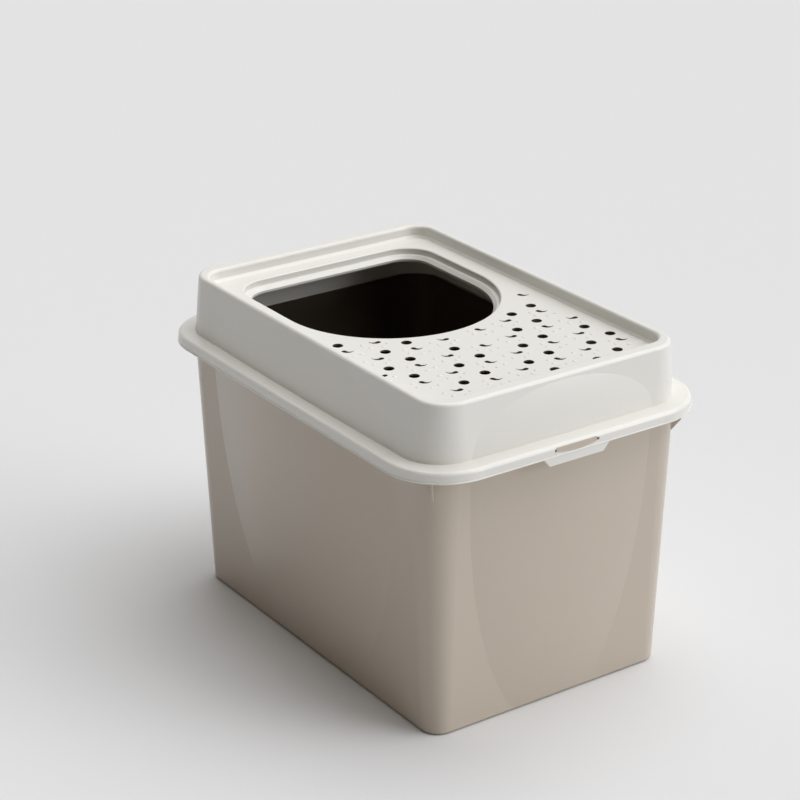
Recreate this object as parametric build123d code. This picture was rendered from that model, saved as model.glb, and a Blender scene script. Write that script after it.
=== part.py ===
"""Top entry litter box: a deep tapered tub and a lid with a raised hood, a D-shaped
entry and a perforated paw-print tread. Millimetres, +Z up, +X along the length,
origin in the middle of the base."""
from build123d import *
import os
from itertools import product
from math import asin, atan2, cos, degrees, hypot, radians, tan

os.makedirs("parts", exist_ok=True)

# Overall, over the bead of the lid's skirt
LENGTH = 570.0
WIDTH = 404.5
HEIGHT = 405.5

# Tub, insets measured from the outline of the skirt's bead
TUB_WALL = 2.4
TUB_FLOOR = 3.0
TUB_DRAFT = 2.24  # degrees, on every wall
FOOT_INSET = 38.0
FOOT_RADIUS = 24.0
FOOT_EDGE = 5.0  # rounding between the walls and the base
RIM_THICKNESS = 2.0
RIM_LIP_DROP = 8.0  # turned-down edge of the rim
RIM_BEVEL = 1.0

# Corner gussets under the tub's rim
GUSSET_THICKNESS = 1.8
GUSSET_DROP = 28.0  # below the rim, at the tub's wall
GUSSET_TIP_DROP = 16.0  # below the rim, at the outer end

# Lid
LID_WALL = 2.2
SKIRT_BOTTOM = 324.6
SKIRT_HEIGHT = 13.3
SKIRT_RADIUS = 73.0
SKIRT_EDGE = 4.5
BEAD_PROUD = 0.8
BEAD_HEIGHT = 1.7
BEAD_BEVEL = 0.4
HOOD_FOOT_END = 23.35  # insets of the hood's foot and top, at the ends and at the sides
HOOD_FOOT_SIDE = 20.7
HOOD_FOOT_RADIUS = 51.0
HOOD_TOP_END = 27.0
HOOD_TOP_SIDE = 32.9
HOOD_TOP_RADIUS = 35.0
HOOD_EDGE = 4.0
END_LIP = 17.6  # width of the raised rim round the tray
SIDE_LIP = 8.9
LIP_ROUND = 4.0
TRAY_DEPTH = 14.8
TRAY_DRAFT = 5.0  # degrees
TRAY_RADIUS = 23.0
TRAY_BEVEL = 3.0

# Oval crowned panels, one on each wall, that run on from the tub into the hood
END_PANEL = 124.0  # half width on the ends
SIDE_PANEL = 189.0  # half width on the sides
TUB_PANEL_LEVEL = 305.0  # height of the widest place
TUB_PANEL_REACH = 333.0  # from there down to the oval's lower end
HOOD_PANEL_REACH = 62.0  # up from the flange
TUB_END_RISE = 2.2
TUB_SIDE_RISE = 3.0
HOOD_END_RISE = 1.4
HOOD_SIDE_RISE = 1.6

# Entry: a D with its straight edge at the -X end, in a stepped recess
RECESS_END_MARGIN = 23.1  # from the foot of the tray's wall to the recess, at the end
RECESS_SIDE_MARGIN = 24.35  # and at the sides
RECESS_STRAIGHT = 136.0  # from the straight edge to the centre of the round end
RECESS_CORNER = 42.0
RECESS_BEVEL = 1.0
LEDGE_DEPTH = 7.7
LEDGE_DRAFT = 7.4  # degrees
LEDGE_WIDTH = 7.4
ENTRY_BEVEL = 4.0  # slope from the ledge down into the entry
ENTRY_COLLAR = 6.8  # the entry's turned-down edge, below the ledge

# Perforated tread: trails of paw prints with round holes between them. The pattern
# repeats by TRAIL_STEP along the trails and ROW_STEP across them. The holes have
# short flat sides, so that the many of them mesh to few facets.
TRAIL_ANGLE = -29.71
TRAIL_STEP = 49.3
ROW_STEP = 77.9
ROW_SHIFT = -2.2  # along the trail, from one row to the next
TRAIL_START = (180.9, -32.1)  # a round hole, measured from the centre of the recess's round end
ROUND_HOLE = 12.5
ROUND_SIDES = 16
ROUND_PLACES = ((0.0, 0.0), (23.6, 25.9))  # along and across the trail
PAW_PLACES = ((-7.9, 36.4, 1), (18.9, -10.2, -1))  # and which way the paw turns
PAW_TURN = 7.5
PAD_TIP = (-1.2, 7.2)  # outline of a pad that faces +X: its narrow tip
PAD_FRONT = 5.0  # how far its front bulges
PAD_BACK = 1.2  # and its back, so that it is hollow
PAD_HEEL = ((2.6, -6.0), (0.4, -7.6), (-2.4, -6.8), (-3.4, -4.2), (-2.2, -2.2))  # and its full heel
PAD_FRONT_SIDES = 5
PAD_BACK_SIDES = 3
TREAD_START = 82.0  # least distance of a hole's centre from the centre of the recess's round end
TREAD_END_MARGIN = 20.1  # least distance from the foot of the tray's wall, at the end
TREAD_SIDE_MARGIN = 13.1  # and at the sides
ENTRY_MARGIN = 11.0  # least distance from the entry's recess
SOLID_PLACES = ((-1, 0, 1), (2, -1, 1), (3, -1, 2), (-3, 1, 2))  # column, row, place: left unpierced
EDGE_PAD_X = 87.8  # the one pad that is shifted: from the centre of the recess's round end
EDGE_PAD_MARGIN = 23.1  # and from the foot of the tray's wall

# Catch, in the middle of both ends
TAB_DROP = 9.5
TAB_HALF_WIDTH = 37.0
TAB_SLOPE = 9.5  # run of each sloped end
TAB_CORNER = 3.0
WINDOW_HALF_WIDTH = 30.5
WINDOW_SILL = 3.3  # above the skirt's bottom edge
CATCH_HALF_WIDTH = 27.5
CATCH_CURVE = 2.5  # rise of the catch's lower edge towards its ends

# Fits
SEAT_GAP = 0.2  # rim to the underside of the flange
RIM_GAP = 1.5  # rim to the inside of the skirt
CATCH_GAP = 0.4
OVERLAP = 1.0  # how far a solid runs into its neighbour, or a cutter past a face
TINY = 0.01  # tolerance for finding edges and faces by their height

# Levels that follow
FLANGE_TOP = SKIRT_BOTTOM + SKIRT_HEIGHT
FLANGE_UNDER = FLANGE_TOP - LID_WALL
RIM_TOP = FLANGE_UNDER - SEAT_GAP
RIM_UNDER = RIM_TOP - RIM_THICKNESS
TRAY_FLOOR = HEIGHT - TRAY_DEPTH
TRAY_SLOPE = TRAY_DEPTH * tan(radians(TRAY_DRAFT))
TRAY_END = HOOD_TOP_END + END_LIP + TRAY_SLOPE  # insets of the foot of the tray's wall
TRAY_SIDE = HOOD_TOP_SIDE + SIDE_LIP + TRAY_SLOPE
LEDGE_TOP = TRAY_FLOOR - LEDGE_DEPTH
COLLAR_BOTTOM = LEDGE_TOP - ENTRY_COLLAR
RECESS_END_X = TRAY_END + RECESS_END_MARGIN - LENGTH / 2
RECESS_RADIUS = WIDTH / 2 - TRAY_SIDE - RECESS_SIDE_MARGIN  # at the tread's level
ENTRY_ARC_X = RECESS_END_X + RECESS_STRAIGHT  # centre of the round end
SKIRT_INSIDE = BEAD_PROUD + LID_WALL
RIM_INSET = SKIRT_INSIDE + RIM_GAP


def outline(end, side, radius, z):
    """Rounded rectangle at height z, inset from the overall size at the ends and sides."""
    return Pos(0, 0, z) * RectangleRounded(LENGTH - 2 * end, WIDTH - 2 * side, radius)


def prism(inset, radius, bottom, top):
    return extrude(outline(inset, inset, radius, bottom), top - bottom)


def entry_plan(inset, z):
    """The recess's D, inset all round, at height z."""
    half = RECESS_RADIUS - inset
    end = RECESS_END_X + inset
    with BuildSketch(Plane.XY.offset(z)) as sketch:
        with BuildLine():
            Polyline((ENTRY_ARC_X, half), (end, half), (end, -half), (ENTRY_ARC_X, -half))
            ThreePointArc((ENTRY_ARC_X, -half), (ENTRY_ARC_X + half, 0), (ENTRY_ARC_X, half))
        make_face()
        fillet(sketch.vertices().group_by(Axis.X)[0], RECESS_CORNER - inset)
    return sketch.sketch


def edges_at(shape, z):
    """Level edges of a shape that lie at height z."""
    return shape.edges().filter_by_position(Axis.Z, z - TINY, z + TINY)


def opening_edges(shape, z):
    """Edges round the opening in a shape's level face at height z."""
    face = shape.faces().filter_by_position(Axis.Z, z - TINY, z + TINY).sort_by(SortBy.AREA)[-1]
    return face.inner_wires()[0].edges()


def eased(shape, z, radius):
    """Rounds the edges at height z with three flats, which mesh to fewer facets than a fillet."""
    first_cut = radius * (1 - tan(radians(22.5)))
    second_cut = radius * (tan(radians(22.5)) - tan(radians(11.25)))
    low, high = sorted((z, z + first_cut if z < HEIGHT / 2 else z - first_cut))
    shape = chamfer(edges_at(shape, z), first_cut)
    turned = shape.edges().filter_by_position(Axis.Z, low - TINY, high + TINY)
    return chamfer([edge for edge in turned if edge.bounding_box().size.Z < first_cut / 2], second_cut)


def both_ends(shape):
    return [shape, shape.mirror(Plane.YZ)]


def both_sides(shape):
    return [shape, shape.mirror(Plane.XZ)]


def crown(half_width, reach, rise):
    """Shallow oval cap over the YZ plane, with its middle at the origin, rising along +X."""
    across = (half_width**2 + rise**2) / (2 * rise)
    upright = (reach**2 + rise**2) / (2 * rise)
    with BuildSketch() as section:
        with BuildLine():
            ThreePointArc((0, -half_width), (rise, 0), (0, half_width))
            Polyline((0, half_width), (-OVERLAP, half_width), (-OVERLAP, -half_width), (0, -half_width))
        make_face()
    axis = Axis((rise - upright, 0, 0), (0, 1, 0))
    sweep = degrees(asin(reach / upright))
    return revolve(section.sketch.rotate(axis, -sweep), axis, 2 * sweep)


def panel(half_width, reach, rise, face, level, lean, low, high):
    """Crowned panel on a wall whose face is that far out along +X at that level, and leans out."""
    cap = Pos(face, 0, level) * Rot(0, lean, 0) * crown(half_width, reach, rise)
    band = Pos(face, 0, (low + high) / 2) * Box(half_width, 2 * LENGTH, high - low)
    return cap & band


def paw_pad(side):
    """Main pad of a paw that walks along +X: a bean with its fuller heel on one side."""
    tip, *heel = ((x, side * y) for x, y in (PAD_TIP,) + PAD_HEEL)
    front = ThreePointArc(tip, (PAD_FRONT, 0), heel[0])
    back = ThreePointArc(heel[-1], (PAD_BACK, 0), tip)
    front_points = [front @ (i / PAD_FRONT_SIDES) for i in range(PAD_FRONT_SIDES)]
    back_points = [back @ (i / PAD_BACK_SIDES) for i in range(PAD_BACK_SIDES)]
    return Rot(0, 0, side * PAW_TURN) * Polygon(*front_points, *heel[:-1], *back_points, align=None)


# ---------------------------------------------------------------- tub
outward = tan(radians(TUB_DRAFT))


def tub_form(inset, radius, bottom, top):
    """Drafted block with rounded corners, its inset and radius taken at the base's level."""
    spread = bottom * outward
    base = outline(inset - spread, inset - spread, radius + spread, bottom)
    return extrude(base, top - bottom, taper=-TUB_DRAFT)


tub_outside = eased(tub_form(FOOT_INSET, FOOT_RADIUS, 0, RIM_TOP), 0, FOOT_EDGE)
tub_inside = tub_form(FOOT_INSET + TUB_WALL, FOOT_RADIUS - TUB_WALL, TUB_FLOOR, RIM_TOP + OVERLAP)

# The panels start above the foot's rounding and end under the rim
panel_out = TUB_PANEL_LEVEL * outward - FOOT_INSET
tub_levels = (TUB_PANEL_LEVEL, TUB_DRAFT, FOOT_EDGE, RIM_UNDER)
tub_end = panel(END_PANEL, TUB_PANEL_REACH, TUB_END_RISE, LENGTH / 2 + panel_out, *tub_levels)
tub_side = panel(SIDE_PANEL, TUB_PANEL_REACH, TUB_SIDE_RISE, WIDTH / 2 + panel_out, *tub_levels)
tub_side = Rot(0, 0, 90) * tub_side

# The rim stands out from the wall and turns down
rim = prism(RIM_INSET, SKIRT_RADIUS - RIM_INSET, RIM_TOP - RIM_LIP_DROP, RIM_TOP)
rim = chamfer(edges_at(rim, RIM_TOP), RIM_BEVEL)
rim -= prism(
    RIM_INSET + RIM_THICKNESS,
    SKIRT_RADIUS - RIM_INSET - RIM_THICKNESS,
    RIM_TOP - RIM_LIP_DROP - OVERLAP,
    RIM_UNDER,
)

# A gusset on each corner's diagonal, from the wall to the rim's lip
diagonal = 1 - cos(radians(45))
rim_wall_inset = FOOT_INSET - RIM_TOP * outward
wall_corner = rim_wall_inset + (FOOT_RADIUS + RIM_TOP * outward) * diagonal
lip_corner = RIM_INSET + RIM_THICKNESS / 2 + (SKIRT_RADIUS - RIM_INSET) * diagonal
gusset_reach = (wall_corner - lip_corner) / cos(radians(45))
with BuildSketch(Plane.XZ) as gusset_side:
    Polygon(
        (-TUB_WALL / 2, RIM_UNDER + RIM_THICKNESS / 2),
        (gusset_reach, RIM_UNDER + RIM_THICKNESS / 2),
        (gusset_reach, RIM_TOP - GUSSET_TIP_DROP),
        (-TUB_WALL, RIM_TOP - GUSSET_DROP),
        align=None,
    )
gusset = extrude(gusset_side.sketch, GUSSET_THICKNESS / 2, both=True)
corner_x, corner_y = LENGTH / 2 - wall_corner, WIDTH / 2 - wall_corner
gussets = [
    Pos(sx * corner_x, sy * corner_y) * Rot(0, 0, turn) * gusset
    for sx, sy, turn in ((1, 1, 45), (-1, 1, 135), (-1, -1, 225), (1, -1, 315))
]

# Catch behind the lid's window: a tongue on the rim's lip with a curved lower edge
catch_face = LENGTH / 2 - SKIRT_INSIDE - CATCH_GAP
catch_bottom = SKIRT_BOTTOM + WINDOW_SILL
catch_ends = catch_bottom + CATCH_CURVE
with BuildSketch(Plane.YZ.offset(catch_face)) as catch_side:
    with BuildLine():
        Polyline(
            (-CATCH_HALF_WIDTH, catch_ends),
            (-CATCH_HALF_WIDTH, RIM_UNDER),
            (CATCH_HALF_WIDTH, RIM_UNDER),
            (CATCH_HALF_WIDTH, catch_ends),
        )
        ThreePointArc((CATCH_HALF_WIDTH, catch_ends), (0, catch_bottom), (-CATCH_HALF_WIDTH, catch_ends))
    make_face()
catch = extrude(catch_side.sketch, -(RIM_INSET + RIM_THICKNESS / 2 - SKIRT_INSIDE - CATCH_GAP))

tub = tub_outside + rim + gussets + both_ends(catch) + both_ends(tub_end) + both_sides(tub_side)
tub -= tub_inside

# ---------------------------------------------------------------- lid
skirt = prism(BEAD_PROUD, SKIRT_RADIUS - BEAD_PROUD, SKIRT_BOTTOM, FLANGE_TOP)
skirt = eased(skirt, FLANGE_TOP, SKIRT_EDGE)
bead = prism(0, SKIRT_RADIUS, SKIRT_BOTTOM, SKIRT_BOTTOM + BEAD_HEIGHT)
bead = chamfer(bead.edges().filter_by(Plane.XY), BEAD_BEVEL)
skirt_inside = prism(SKIRT_INSIDE, SKIRT_RADIUS - SKIRT_INSIDE, SKIRT_BOTTOM - OVERLAP, FLANGE_UNDER)


def hood_form(thickness, bottom, top):
    """The hood's outside, or its inside when given the wall's thickness."""
    foot = outline(
        HOOD_FOOT_END + thickness, HOOD_FOOT_SIDE + thickness, HOOD_FOOT_RADIUS - thickness, bottom
    )
    crest = outline(HOOD_TOP_END + thickness, HOOD_TOP_SIDE + thickness, HOOD_TOP_RADIUS - thickness, top)
    return loft([foot.face(), crest.face()], ruled=True)


hood = hood_form(0, FLANGE_TOP - OVERLAP, HEIGHT)
hood = fillet(edges_at(hood, HEIGHT), HOOD_EDGE)
hood_inside = hood_form(LID_WALL, FLANGE_UNDER - OVERLAP, HEIGHT - LID_WALL)
hood_rise = HEIGHT - FLANGE_TOP
end_lean = degrees(atan2(HOOD_TOP_END - HOOD_FOOT_END, hood_rise))
side_lean = degrees(atan2(HOOD_TOP_SIDE - HOOD_FOOT_SIDE, hood_rise))
hood_cut = (FLANGE_TOP - OVERLAP, HEIGHT - HOOD_EDGE)
end_face, side_face = LENGTH / 2 - HOOD_FOOT_END, WIDTH / 2 - HOOD_FOOT_SIDE
hood_end = panel(END_PANEL, HOOD_PANEL_REACH, HOOD_END_RISE, end_face, FLANGE_TOP, -end_lean, *hood_cut)
hood_side = panel(SIDE_PANEL, HOOD_PANEL_REACH, HOOD_SIDE_RISE, side_face, FLANGE_TOP, -side_lean, *hood_cut)
hood_side = Rot(0, 0, 90) * hood_side

# Tray in the hood's top, with a bevelled foot and a rounded lip
tray = extrude(outline(TRAY_END, TRAY_SIDE, TRAY_RADIUS, TRAY_FLOOR), TRAY_DEPTH, taper=-TRAY_DRAFT)
tray = chamfer(edges_at(tray, TRAY_FLOOR), TRAY_BEVEL)
shell_end, shell_side = TRAY_END - TRAY_SLOPE - LID_WALL, TRAY_SIDE - TRAY_SLOPE - LID_WALL
tray_shell = extrude(
    outline(shell_end, shell_side, TRAY_RADIUS + LID_WALL, TRAY_FLOOR - LID_WALL), TRAY_DEPTH + LID_WALL / 2
)

# Under the tray, the stepped recess and the collar of the entry
ledge_slope = LEDGE_DEPTH * tan(radians(LEDGE_DRAFT))
recess = extrude(entry_plan(ledge_slope, LEDGE_TOP), LEDGE_DEPTH + OVERLAP, taper=-LEDGE_DRAFT)
recess_shell = extrude(entry_plan(-LID_WALL, LEDGE_TOP - LID_WALL), LEDGE_DEPTH)
entry_inset = ledge_slope + LEDGE_WIDTH
collar = extrude(entry_plan(entry_inset - LID_WALL, COLLAR_BOTTOM), ENTRY_COLLAR - LID_WALL / 2)
entry = extrude(entry_plan(entry_inset, COLLAR_BOTTOM - OVERLAP), HEIGHT - COLLAR_BOTTOM)


def hole_outlines():
    """Every hole of the tread, placed on the tray's floor."""
    middle = Pos(ENTRY_ARC_X, 0, TRAY_FLOOR)
    trail = Rot(0, 0, TRAIL_ANGLE)
    end_x = LENGTH / 2 - TRAY_END - TREAD_END_MARGIN
    side_y = WIDTH / 2 - TRAY_SIDE
    for column, row in product(range(-6, 7), range(-4, 5)):
        for index, place in enumerate(ROUND_PLACES + PAW_PLACES):
            along = column * TRAIL_STEP + row * ROW_SHIFT + place[0]
            spot = middle * Pos(*TRAIL_START) * trail * Pos(along, row * ROW_STEP + place[1])
            x, y = spot.position.X, spot.position.Y
            on_tread = ENTRY_ARC_X + TREAD_START < x < end_x and abs(y) < side_y - TREAD_SIDE_MARGIN
            clear = hypot(x - ENTRY_ARC_X, y) - RECESS_RADIUS > ENTRY_MARGIN
            if on_tread and clear and (column, row, index) not in SOLID_PLACES:
                round_hole = RegularPolygon(ROUND_HOLE / 2, ROUND_SIDES)
                yield spot * (paw_pad(place[2]) if len(place) == 3 else round_hole)
    yield middle * Pos(EDGE_PAD_X, side_y - EDGE_PAD_MARGIN) * trail * paw_pad(1)


holes = [extrude(hole, LID_WALL + OVERLAP, both=True) for hole in hole_outlines()]

# Latch tab hanging from the skirt at each end, with the window over it
skirt_face = LENGTH / 2 - BEAD_PROUD
with BuildSketch(Plane.YZ.offset(skirt_face - LID_WALL)) as tab_side:
    Polygon(
        (-TAB_HALF_WIDTH, SKIRT_BOTTOM - TAB_DROP),
        (TAB_HALF_WIDTH, SKIRT_BOTTOM - TAB_DROP),
        (TAB_HALF_WIDTH + TAB_SLOPE, SKIRT_BOTTOM + BEAD_HEIGHT),
        (-TAB_HALF_WIDTH - TAB_SLOPE, SKIRT_BOTTOM + BEAD_HEIGHT),
        align=None,
    )
    fillet(tab_side.vertices().group_by(Axis.Y)[0], TAB_CORNER)
tab = extrude(tab_side.sketch, LID_WALL)
window_top = FLANGE_TOP - SKIRT_EDGE
window = Pos(skirt_face, 0, (SKIRT_BOTTOM + WINDOW_SILL + window_top) / 2) * Box(
    2 * LID_WALL + OVERLAP, 2 * WINDOW_HALF_WIDTH, window_top - SKIRT_BOTTOM - WINDOW_SILL
)

lid = skirt + bead + hood + both_ends(tab) + both_ends(hood_end) + both_sides(hood_side)
lid -= [skirt_inside, hood_inside]
lid += [tray_shell, recess_shell, collar]
lid -= [tray, recess, entry]
lid = chamfer(opening_edges(lid, LEDGE_TOP), ENTRY_BEVEL)
lid = fillet(opening_edges(lid, HEIGHT), LIP_ROUND)
lid = chamfer(opening_edges(lid, TRAY_FLOOR), RECESS_BEVEL)
lid -= both_ends(window) + holes

export_step(tub, "parts/litter_tub.step")
export_step(lid, "parts/top_entry_lid.step")
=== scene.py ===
from itertools import product
from math import radians

import bpy
from mathutils import Euler, Matrix, Vector


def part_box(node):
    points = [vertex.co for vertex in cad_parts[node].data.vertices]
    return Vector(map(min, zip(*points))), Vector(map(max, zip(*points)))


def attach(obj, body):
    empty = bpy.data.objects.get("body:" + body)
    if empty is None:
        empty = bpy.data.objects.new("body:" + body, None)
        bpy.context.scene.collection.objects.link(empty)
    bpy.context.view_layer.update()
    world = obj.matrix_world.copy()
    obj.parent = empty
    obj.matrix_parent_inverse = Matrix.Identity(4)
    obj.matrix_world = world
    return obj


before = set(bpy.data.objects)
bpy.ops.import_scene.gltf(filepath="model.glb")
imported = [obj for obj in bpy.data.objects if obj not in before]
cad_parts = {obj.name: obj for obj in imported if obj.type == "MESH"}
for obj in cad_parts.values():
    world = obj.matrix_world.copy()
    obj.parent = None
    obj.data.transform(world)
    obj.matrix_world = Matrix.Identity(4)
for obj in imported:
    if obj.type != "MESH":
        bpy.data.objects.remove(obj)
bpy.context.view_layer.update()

scene = bpy.context.scene
scene.view_settings.view_transform = "Standard"

# ---------------------------------------------------------------- camera
# A long lens, a little above the box, looks at the corner between the tread's end
# and a long side. Angles in degrees, distances in metres.
camera_yaw = 55.55
camera_pitch = 23.16
camera_roll = -0.24
camera_target = Vector((-0.18098, 0.08691, 0.200))
camera_distance = 2.97653
camera_turn = Euler((radians(90 - camera_pitch), 0, radians(camera_yaw))).to_matrix()
camera_turn = camera_turn @ Matrix.Rotation(radians(camera_roll), 3, "Z")
camera_data = bpy.data.cameras.new("studio_camera")
camera_data.sensor_width = 36
camera_data.lens = 105.23
camera_data.clip_end = 50
camera = bpy.data.objects.new("studio_camera", camera_data)
camera.location = camera_target + camera_turn @ Vector((0, 0, camera_distance))
camera.rotation_euler = camera_turn.to_euler()
scene.collection.objects.link(camera)
scene.camera = camera


# ---------------------------------------------------------------- studio
# A wide sheet of white paper under a soft ceiling light. Most daylight comes from the
# camera's right, with weaker light from behind the box and from the camera's left.
def linear(hex_code):
    """An sRGB hex colour as linear RGBA."""
    values = [int(hex_code[i:i + 2], 16) / 255 for i in (1, 3, 5)]
    return (*[v / 12.92 if v <= 0.04045 else ((v + 0.055) / 1.055) ** 2.4 for v in values], 1.0)


def add_node(tree, kind, settings={}, **links):
    """Adds a node, sets its properties and inputs, and links inputs to sockets."""
    node = tree.nodes.new(kind)
    for name, value in settings.items():
        if isinstance(name, str) and hasattr(node, name):
            setattr(node, name, value)
        else:
            node.inputs[name].default_value = value
    for name, socket in links.items():
        key = int(name[1:]) if name[1:].isdigit() else name.replace("_", " ")
        tree.links.new(socket, node.inputs[key])
    return node


def lamp(name, azimuth, height, spread, energy, colour):
    """A far, round, soft light. The azimuth (from +X), height and spread are in degrees."""
    light = bpy.data.lights.new(name, "SUN")
    light.energy = energy
    light.angle = radians(spread)
    light.color = linear(colour)[:3]
    stand = bpy.data.objects.new(name, light)
    stand.rotation_euler = (0, radians(90 - height), radians(azimuth))
    scene.collection.objects.link(stand)


lamp("ceiling_diffuser", 78, 68, 64, 2.13, "#FFFFFF")
lamp("ceiling_spill", 270, 76, 50, 0.18, "#FFFFFF")
lamp("window", 42, 13, 34, 1.00, "#FDFDFF")
lamp("window_head", 45, 36, 50, 0.48, "#FDFDFF")
lamp("far_window", 165, 55, 40, 0.33, "#FFFFFF")
lamp("room_fill", 300, 40, 60, 0.08, "#FFE2B8")

# Camera rays, mirror rays and clear rays that miss the paper meet a pale backdrop,
# and all other rays meet the dim, warm room
room_glow, room_colour = 0.04, "#FFE9CC"
backdrop_colour = "#E6E6E5"
world = bpy.data.worlds.new("studio_room")
scene.world = world
world.use_nodes = True
tree = world.node_tree
tree.nodes.clear()
path = add_node(tree, "ShaderNodeLightPath").outputs
mirrored = add_node(
    tree, "ShaderNodeMath", {"operation": "MAXIMUM"},
    _0=path["Is Glossy Ray"], _1=path["Is Transmission Ray"],
)
shown = add_node(
    tree, "ShaderNodeMath", {"operation": "MAXIMUM"},
    _0=path["Is Camera Ray"], _1=mirrored.outputs[0],
)
room = add_node(
    tree, "ShaderNodeBackground", {"Color": linear(room_colour), "Strength": room_glow}
)
backdrop = add_node(tree, "ShaderNodeBackground", {"Color": linear(backdrop_colour)})
mix = add_node(
    tree, "ShaderNodeMixShader",
    _0=shown.outputs[0], _1=room.outputs[0], _2=backdrop.outputs[0],
)
add_node(tree, "ShaderNodeOutputWorld", Surface=mix.outputs[0])

# Matt, uncoated paper: it throws light evenly and shows no reflection
floor_size = 40.0
paper_colour = "#E5E6E8"
bpy.ops.object.select_all(action="DESELECT")
bpy.ops.mesh.primitive_plane_add(size=floor_size)
floor = bpy.context.object
floor.name = "paper_floor"
paper = bpy.data.materials.new("white_paper_sweep")
paper.use_nodes = True
tree = paper.node_tree
tree.nodes.clear()
surface = add_node(tree, "ShaderNodeBsdfDiffuse", {"Color": linear(paper_colour)})
add_node(tree, "ShaderNodeOutputMaterial", Surface=surface.outputs[0])
floor.data.materials.append(paper)


# ---------------------------------------------------------------- tub
# One deep polypropylene moulding in warm grey. A smooth steel mould leaves a soft
# sheen all over. Hardly any light gets back out of the deep inside, so its colour there
# is darkened as painted shade.
def maths(tree, operation, *values):
    """A maths node over sockets and numbers."""
    node = add_node(tree, "ShaderNodeMath", {"operation": operation})
    for socket, value in zip(node.inputs, values):
        if isinstance(value, (int, float)):
            socket.default_value = value
        else:
            tree.links.new(value, socket)
    return node.outputs[0]


def plastic(name, outside, inside, roughness, inner, panels):
    """Moulded plastic. inner(tree, axes) is 1 on faces with painted shade; panels are its ovals."""
    ior = 1.49
    drift_scale, drift_detail, drift_least, drift_most = 14.0, 3.0, 0.997, 1.003
    haze_scale, haze_detail, haze_spread = 45.0, 4.0, 0.005
    material = bpy.data.materials.new(name)
    material.use_nodes = True
    tree = material.node_tree
    tree.nodes.clear()
    place = add_node(tree, "ShaderNodeTexCoord").outputs["Object"]
    axes = add_node(tree, "ShaderNodeSeparateXYZ", Vector=place).outputs
    # A very slight drift of the pigment, some seven centimetres across
    drift = add_node(
        tree, "ShaderNodeTexNoise", {"Scale": drift_scale, "Detail": drift_detail}, Vector=place
    )
    tint = add_node(
        tree, "ShaderNodeMapRange", {"To Min": drift_least, "To Max": drift_most},
        Value=drift.outputs["Fac"],
    )
    # Where inner is 1, the inside colour is painted shade
    shade = add_node(
        tree, "ShaderNodeMixRGB", {"Color1": linear(outside), "Color2": linear(inside)},
        Fac=inner(tree, axes),
    )
    colour = add_node(
        tree, "ShaderNodeVectorMath", {"operation": "SCALE"},
        _0=shade.outputs[0], Scale=tint.outputs[0],
    )
    # Cooling leaves the gloss a little uneven, some two centimetres across
    haze = add_node(
        tree, "ShaderNodeTexNoise", {"Scale": haze_scale, "Detail": haze_detail}, Vector=place
    )
    gloss = add_node(
        tree, "ShaderNodeMapRange",
        {"To Min": roughness - haze_spread, "To Max": roughness + haze_spread},
        Value=haze.outputs["Fac"],
    )
    # The sheen follows the crowned panels more strongly than their shallow solids do
    crowns = 0.0
    for across, along, least, half_width, level, reach, rise in panels:
        wide = maths(tree, "POWER", maths(tree, "DIVIDE", axes[across], half_width), 2.0)
        high = maths(tree, "DIVIDE", maths(tree, "SUBTRACT", axes[2], level), reach)
        round_out = maths(tree, "ADD", wide, maths(tree, "POWER", high, 2.0))
        crown = maths(tree, "MAXIMUM", maths(tree, "MULTIPLY_ADD", round_out, -rise, rise), 0.0)
        on_wall = maths(tree, "GREATER_THAN", maths(tree, "ABSOLUTE", axes[along]), least)
        crowns = maths(tree, "MULTIPLY_ADD", crown, on_wall, crowns)
    relief = add_node(tree, "ShaderNodeBump", {"Strength": 1.0, "Distance": 1.0}, Height=crowns)
    shader = add_node(
        tree, "ShaderNodeBsdfPrincipled", {"IOR": ior},
        Base_Color=colour.outputs[0], Roughness=gloss.outputs[0], Normal=relief.outputs[0],
    )
    add_node(tree, "ShaderNodeOutputMaterial", Surface=shader.outputs[0])
    return material


def tub_inside_painted_shade(tree, axes):
    """1 inside a line that runs up the middle of the drafted wall, where shade is painted; else 0.
    """
    foot_x, foot_y, foot_radius, wall = 0.247, 0.16425, 0.024, 0.0024
    floor_middle = 0.0015
    spread = 0.0391  # sideways run of the wall over its height
    past = []
    for axis, reach in ((axes[0], foot_x), (axes[1], foot_y)):
        from_corner = maths(tree, "SUBTRACT", maths(tree, "ABSOLUTE", axis), reach - foot_radius)
        past.append(maths(tree, "POWER", maths(tree, "MAXIMUM", from_corner, 0.0), 2.0))
    from_centre = maths(tree, "SQRT", maths(tree, "ADD", *past))
    radius = maths(tree, "MULTIPLY_ADD", axes[2], spread, foot_radius - wall / 2)
    within = maths(tree, "LESS_THAN", from_centre, radius)
    return maths(tree, "MULTIPLY", within, maths(tree, "GREATER_THAN", axes[2], floor_middle))


# Each oval: the axis that it spans, the axis that it faces and the least distance
# out along it, half width, level of the widest place, reach and rise, in metres
tub_panels = (
    (1, 0, 0.235, 0.124, 0.305, 0.333, 0.008),
    (0, 1, 0.155, 0.189, 0.305, 0.333, 0.018),
)
# The second colour is painted shade for the tub's deep inside
tub_colour, tub_painted_shade, tub_roughness = "#C3B8AA", "#4C443B", 0.22
tub_plastic = plastic(
    "warm_grey_polypropylene", tub_colour, tub_painted_shade, tub_roughness, tub_inside_painted_shade, tub_panels
)
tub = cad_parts["litter_tub"]
tub.data.materials.clear()
tub.data.materials.append(tub_plastic)
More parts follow.
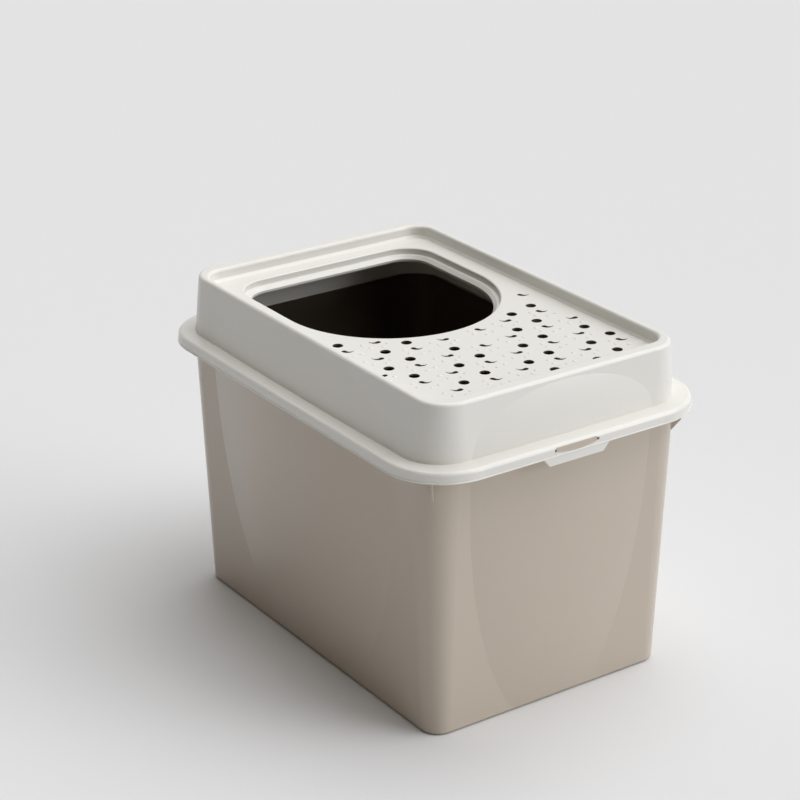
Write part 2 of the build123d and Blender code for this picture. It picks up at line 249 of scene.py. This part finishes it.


# ---------------------------------------------------------------- lid
# The lid is one polypropylene moulding in off-white, a little thinner and less glossy
# than the tub. The walls of its holes and the tread's underside are in deep shade, so
# painted shade sets their colour dark.
def tread_painted_shade(tree, axes):
    """1 on the walls of the tread's holes and on its underside, where shade is painted; else 0."""
    tread_top, tread_x, tread_y = 0.3904, 0.237, 0.157
    entry_x, entry_clear = -0.080, 0.137
    below = maths(tree, "LESS_THAN", axes[2], tread_top)
    ahead = maths(tree, "GREATER_THAN", axes[0], 0.0)
    short = maths(tree, "LESS_THAN", axes[0], tread_x)
    beside = maths(tree, "LESS_THAN", maths(tree, "ABSOLUTE", axes[1]), tread_y)
    along = maths(tree, "POWER", maths(tree, "SUBTRACT", axes[0], entry_x), 2.0)
    from_entry = maths(tree, "ADD", along, maths(tree, "POWER", axes[1], 2.0))
    clear = maths(tree, "GREATER_THAN", from_entry, entry_clear ** 2)
    on_length = maths(tree, "MULTIPLY", below, maths(tree, "MULTIPLY", ahead, short))
    return maths(tree, "MULTIPLY", on_length, maths(tree, "MULTIPLY", beside, clear))


hood_panels = (
    (1, 0, 0.255, 0.124, 0.3379, 0.062, 0.0045),
    (0, 1, 0.165, 0.189, 0.3379, 0.062, 0.0045),
)
# The second colour is painted shade for the holes' walls and the tread's underside
lid_colour, lid_painted_shade, lid_roughness = "#E6E5E0", "#6A675F", 0.27
lid_plastic = plastic(
    "off_white_polypropylene", lid_colour, lid_painted_shade, lid_roughness, tread_painted_shade, hood_panels
)
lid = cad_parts["top_entry_lid"]
lid.data.materials.clear()
lid.data.materials.append(lid_plastic)


# ---------------------------------------------------------------- corner gussets
# Thin webs moulded under the tub's rim at each corner, running out on the diagonal.
# These carry the tub's own gussets further down, to their sloping lower edge.
web_thickness = 0.0020
web_reach = 0.0095  # from the wall's corner outwards
web_root = 0.0015  # into the wall
web_top, web_tip, web_foot = 0.3330, 0.3085, 0.3045
web_spare = 0.0100  # below the foot, cut away by the slope
web_corners = ((1, 1, 45), (-1, 1, 135), (-1, -1, 225), (1, -1, 315))  # sides, turn
wall_corner = (0.24925, 0.16650)


def box_mesh(name, low, high):
    """A block between two corners, as a new object whose place is in its mesh."""
    bpy.ops.object.select_all(action="DESELECT")
    bpy.ops.mesh.primitive_cube_add(size=1)
    piece = bpy.context.object
    piece.name = name
    piece.scale = [b - a for a, b in zip(low, high)]
    piece.location = [(a + b) / 2 for a, b in zip(low, high)]
    bpy.ops.object.transform_apply(location=True, rotation=True, scale=True)
    return piece


def finish_piece(piece, body, material):
    """Gives a piece its material and tells the frame what it moves with."""
    piece.data.materials.clear()
    piece.data.materials.append(material)
    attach(piece, body)


web = box_mesh(
    "gusset_pattern", (-web_root, -web_thickness / 2, web_foot - web_spare),
    (web_reach, web_thickness / 2, web_top),
)
bpy.ops.object.mode_set(mode="EDIT")
bpy.ops.mesh.select_all(action="SELECT")
bpy.ops.mesh.bisect(
    plane_co=(0, 0, web_foot), plane_no=(web_tip - web_foot, 0, -web_reach),
    clear_outer=True, use_fill=True,
)
bpy.ops.object.mode_set(mode="OBJECT")
for number, (side_x, side_y, turn) in enumerate(web_corners, 1):
    copy = web.copy()
    copy.data = web.data.copy()
    copy.name = f"corner_gusset_{number}"
    corner = Matrix.Translation((side_x * wall_corner[0], side_y * wall_corner[1], 0))
    copy.data.transform(corner @ Matrix.Rotation(radians(turn), 4, "Z"))
    scene.collection.objects.link(copy)
    finish_piece(copy, "tub", tub_plastic)
bpy.data.objects.remove(web)


# ---------------------------------------------------------------- latch sills
# The low, plain edge of the lid's latch window at each end. It is part of the lid's
# moulding and fills the foot of the window, under the tongue's bowed edge.
skirt_face = 0.2842
sill_low, sill_top, sill_half_width = 0.3274, 0.3304, 0.0304
sill_depth, sill_proud = 0.0008, 0.00005
for name, side in (("latch_sill_front", 1), ("latch_sill_back", -1)):
    inner, outer = sorted((side * (skirt_face - sill_depth), side * (skirt_face + sill_proud)))
    sill = box_mesh(
        name, (inner, -sill_half_width, sill_low), (outer, sill_half_width, sill_top)
    )
    finish_piece(sill, "lid", lid_plastic)


# ---------------------------------------------------------------- catch tongues
# The face of the tub's springy tongue that shows in the lid's window at each end: a
# flat tab with a bowed lower edge, just proud of the skirt. A neck through the window
# joins it to the tub's own catch.
tongue_half_width = 0.0278
tongue_shift = 0.0010  # of both ends, towards -Y
tongue_top, tongue_ends, tongue_middle = 0.3354, 0.3301, 0.3272
tongue_clear, tongue_proud = 0.0001, 0.0004  # of its two faces, from the skirt's face
tongue_spare = 0.0010  # below the bow, cut away by it
tongue_round, round_steps = 0.0003, 2
bow = tongue_ends - tongue_middle
bow_radius = (tongue_half_width ** 2 + bow ** 2) / (2 * bow)
bow_sides, bow_depth = 240, 0.1
neck_inner, neck_low, neck_high = 0.2812, 0.3306, 0.3334
neck_ends = (-0.0270, 0.0267)


def apply_modifiers(piece):
    """Applies a piece's modifiers in their order."""
    bpy.ops.object.select_all(action="DESELECT")
    bpy.context.view_layer.objects.active = piece
    piece.select_set(True)
    for name in [modifier.name for modifier in piece.modifiers]:
        bpy.ops.object.modifier_apply(modifier=name)


for name, side in (("catch_tongue_front", 1), ("catch_tongue_back", -1)):
    inner, outer = sorted((side * (skirt_face + tongue_clear), side * (skirt_face + tongue_proud)))
    tongue = box_mesh(
        name, (inner, -tongue_half_width - tongue_shift, tongue_middle - tongue_spare),
        (outer, tongue_half_width - tongue_shift, tongue_top),
    )
    bpy.ops.mesh.primitive_cylinder_add(
        vertices=bow_sides, radius=bow_radius, depth=bow_depth, rotation=(0, radians(90), 0),
        location=(side * skirt_face, 0, tongue_middle + bow_radius),
    )
    bowed = bpy.context.object
    cut = tongue.modifiers.new("bowed_edge", "BOOLEAN")
    cut.operation = "INTERSECT"
    cut.object = bowed
    soft = tongue.modifiers.new("soft_edges", "BEVEL")
    soft.width = tongue_round
    soft.segments = round_steps
    soft.limit_method = "ANGLE"
    apply_modifiers(tongue)
    bpy.data.objects.remove(bowed)
    inner, outer = sorted((side * neck_inner, side * (skirt_face + tongue_proud / 2)))
    neck = box_mesh("neck", (inner, neck_ends[0], neck_low), (outer, neck_ends[1], neck_high))
    joined = tongue.modifiers.new("neck_joined", "BOOLEAN")
    joined.operation = "UNION"
    joined.object = neck
    apply_modifiers(tongue)
    bpy.data.objects.remove(neck)
    finish_piece(tongue, "tub", tub_plastic)


# ---------------------------------------------------------------- paw toes
# Four small toes stand round the front of each pierced pad, all but the one pad at the
# side wall that is off the trails: low domes moulded on the tread, just over half a
# millimetre high. Two toes by the other side wall are sunk in it.
toe_radius, toe_height = 0.0025, 0.0006
toe_sunk = toe_height / 4  # into the tread
toe_segments, toe_rings = 10, 6
toe_places = ((0.0094, 0.0143), (0.0169, 0.0052), (0.0147, -0.0095), (0.0050, -0.0145))
tread_depth = 0.0148  # of the tread's top below the lid's
tread_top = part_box("top_entry_lid")[1][2] - tread_depth
trail_angle, trail_step, row_step, row_shift = -29.71, 0.0493, 0.0779, -0.0022
trail_start = (0.1009, -0.0321)
pad_places = ((-0.0079, 0.0364, 1), (0.0189, -0.0102, -1))
solid_pads = ((3, -1, 0), (-3, 1, 0))
trail_columns, trail_rows = range(-6, 7), range(-4, 5)
tread_limits = (0.0020, 0.2190, 0.1460)  # pads' centres: least X, most X, most Y either way
recess_centre, recess_clear = -0.080, 0.1458  # the entry's round end, and its reach

bpy.ops.object.select_all(action="DESELECT")
bpy.ops.mesh.primitive_uv_sphere_add(segments=toe_segments, ring_count=toe_rings, radius=toe_radius)
dome = bpy.context.object
dome.scale.z = toe_height / toe_radius
bpy.ops.object.transform_apply(location=True, rotation=True, scale=True)
bpy.ops.object.mode_set(mode="EDIT")
bpy.ops.mesh.select_all(action="SELECT")
bpy.ops.mesh.bisect(
    plane_co=(0, 0, -toe_sunk), plane_no=(0, 0, -1), clear_outer=True, use_fill=True
)
bpy.ops.object.mode_set(mode="OBJECT")
bpy.ops.object.shade_smooth()
toes = []
trail = Matrix.Rotation(radians(trail_angle), 4, "Z")
for column, row, kind in product(trail_columns, trail_rows, range(len(pad_places))):
    along, across, side = pad_places[kind]
    along += column * trail_step + row * row_shift
    across += row * row_step
    pad = trail @ Vector((along, across, 0)) + Vector((*trail_start, tread_top))
    on_tread = tread_limits[0] < pad.x < tread_limits[1] and abs(pad.y) < tread_limits[2]
    clear = Vector((pad.x - recess_centre, pad.y)).length > recess_clear
    if not (on_tread and clear) or (column, row, kind) in solid_pads:
        continue
    for ahead, beside in toe_places:
        spot = pad + trail @ Vector((ahead, side * beside, 0))
        toe = dome.copy()
        toe.data = dome.data.copy()
        toe.data.transform(Matrix.Translation(spot))
        scene.collection.objects.link(toe)
        toes.append(toe)
bpy.data.objects.remove(dome)
bpy.ops.object.select_all(action="DESELECT")
for toe in toes:
    toe.select_set(True)
bpy.context.view_layer.objects.active = toes[0]
bpy.ops.object.join()
paw_toes = bpy.context.object
paw_toes.name = "paw_toes"
finish_piece(paw_toes, "lid", lid_plastic)
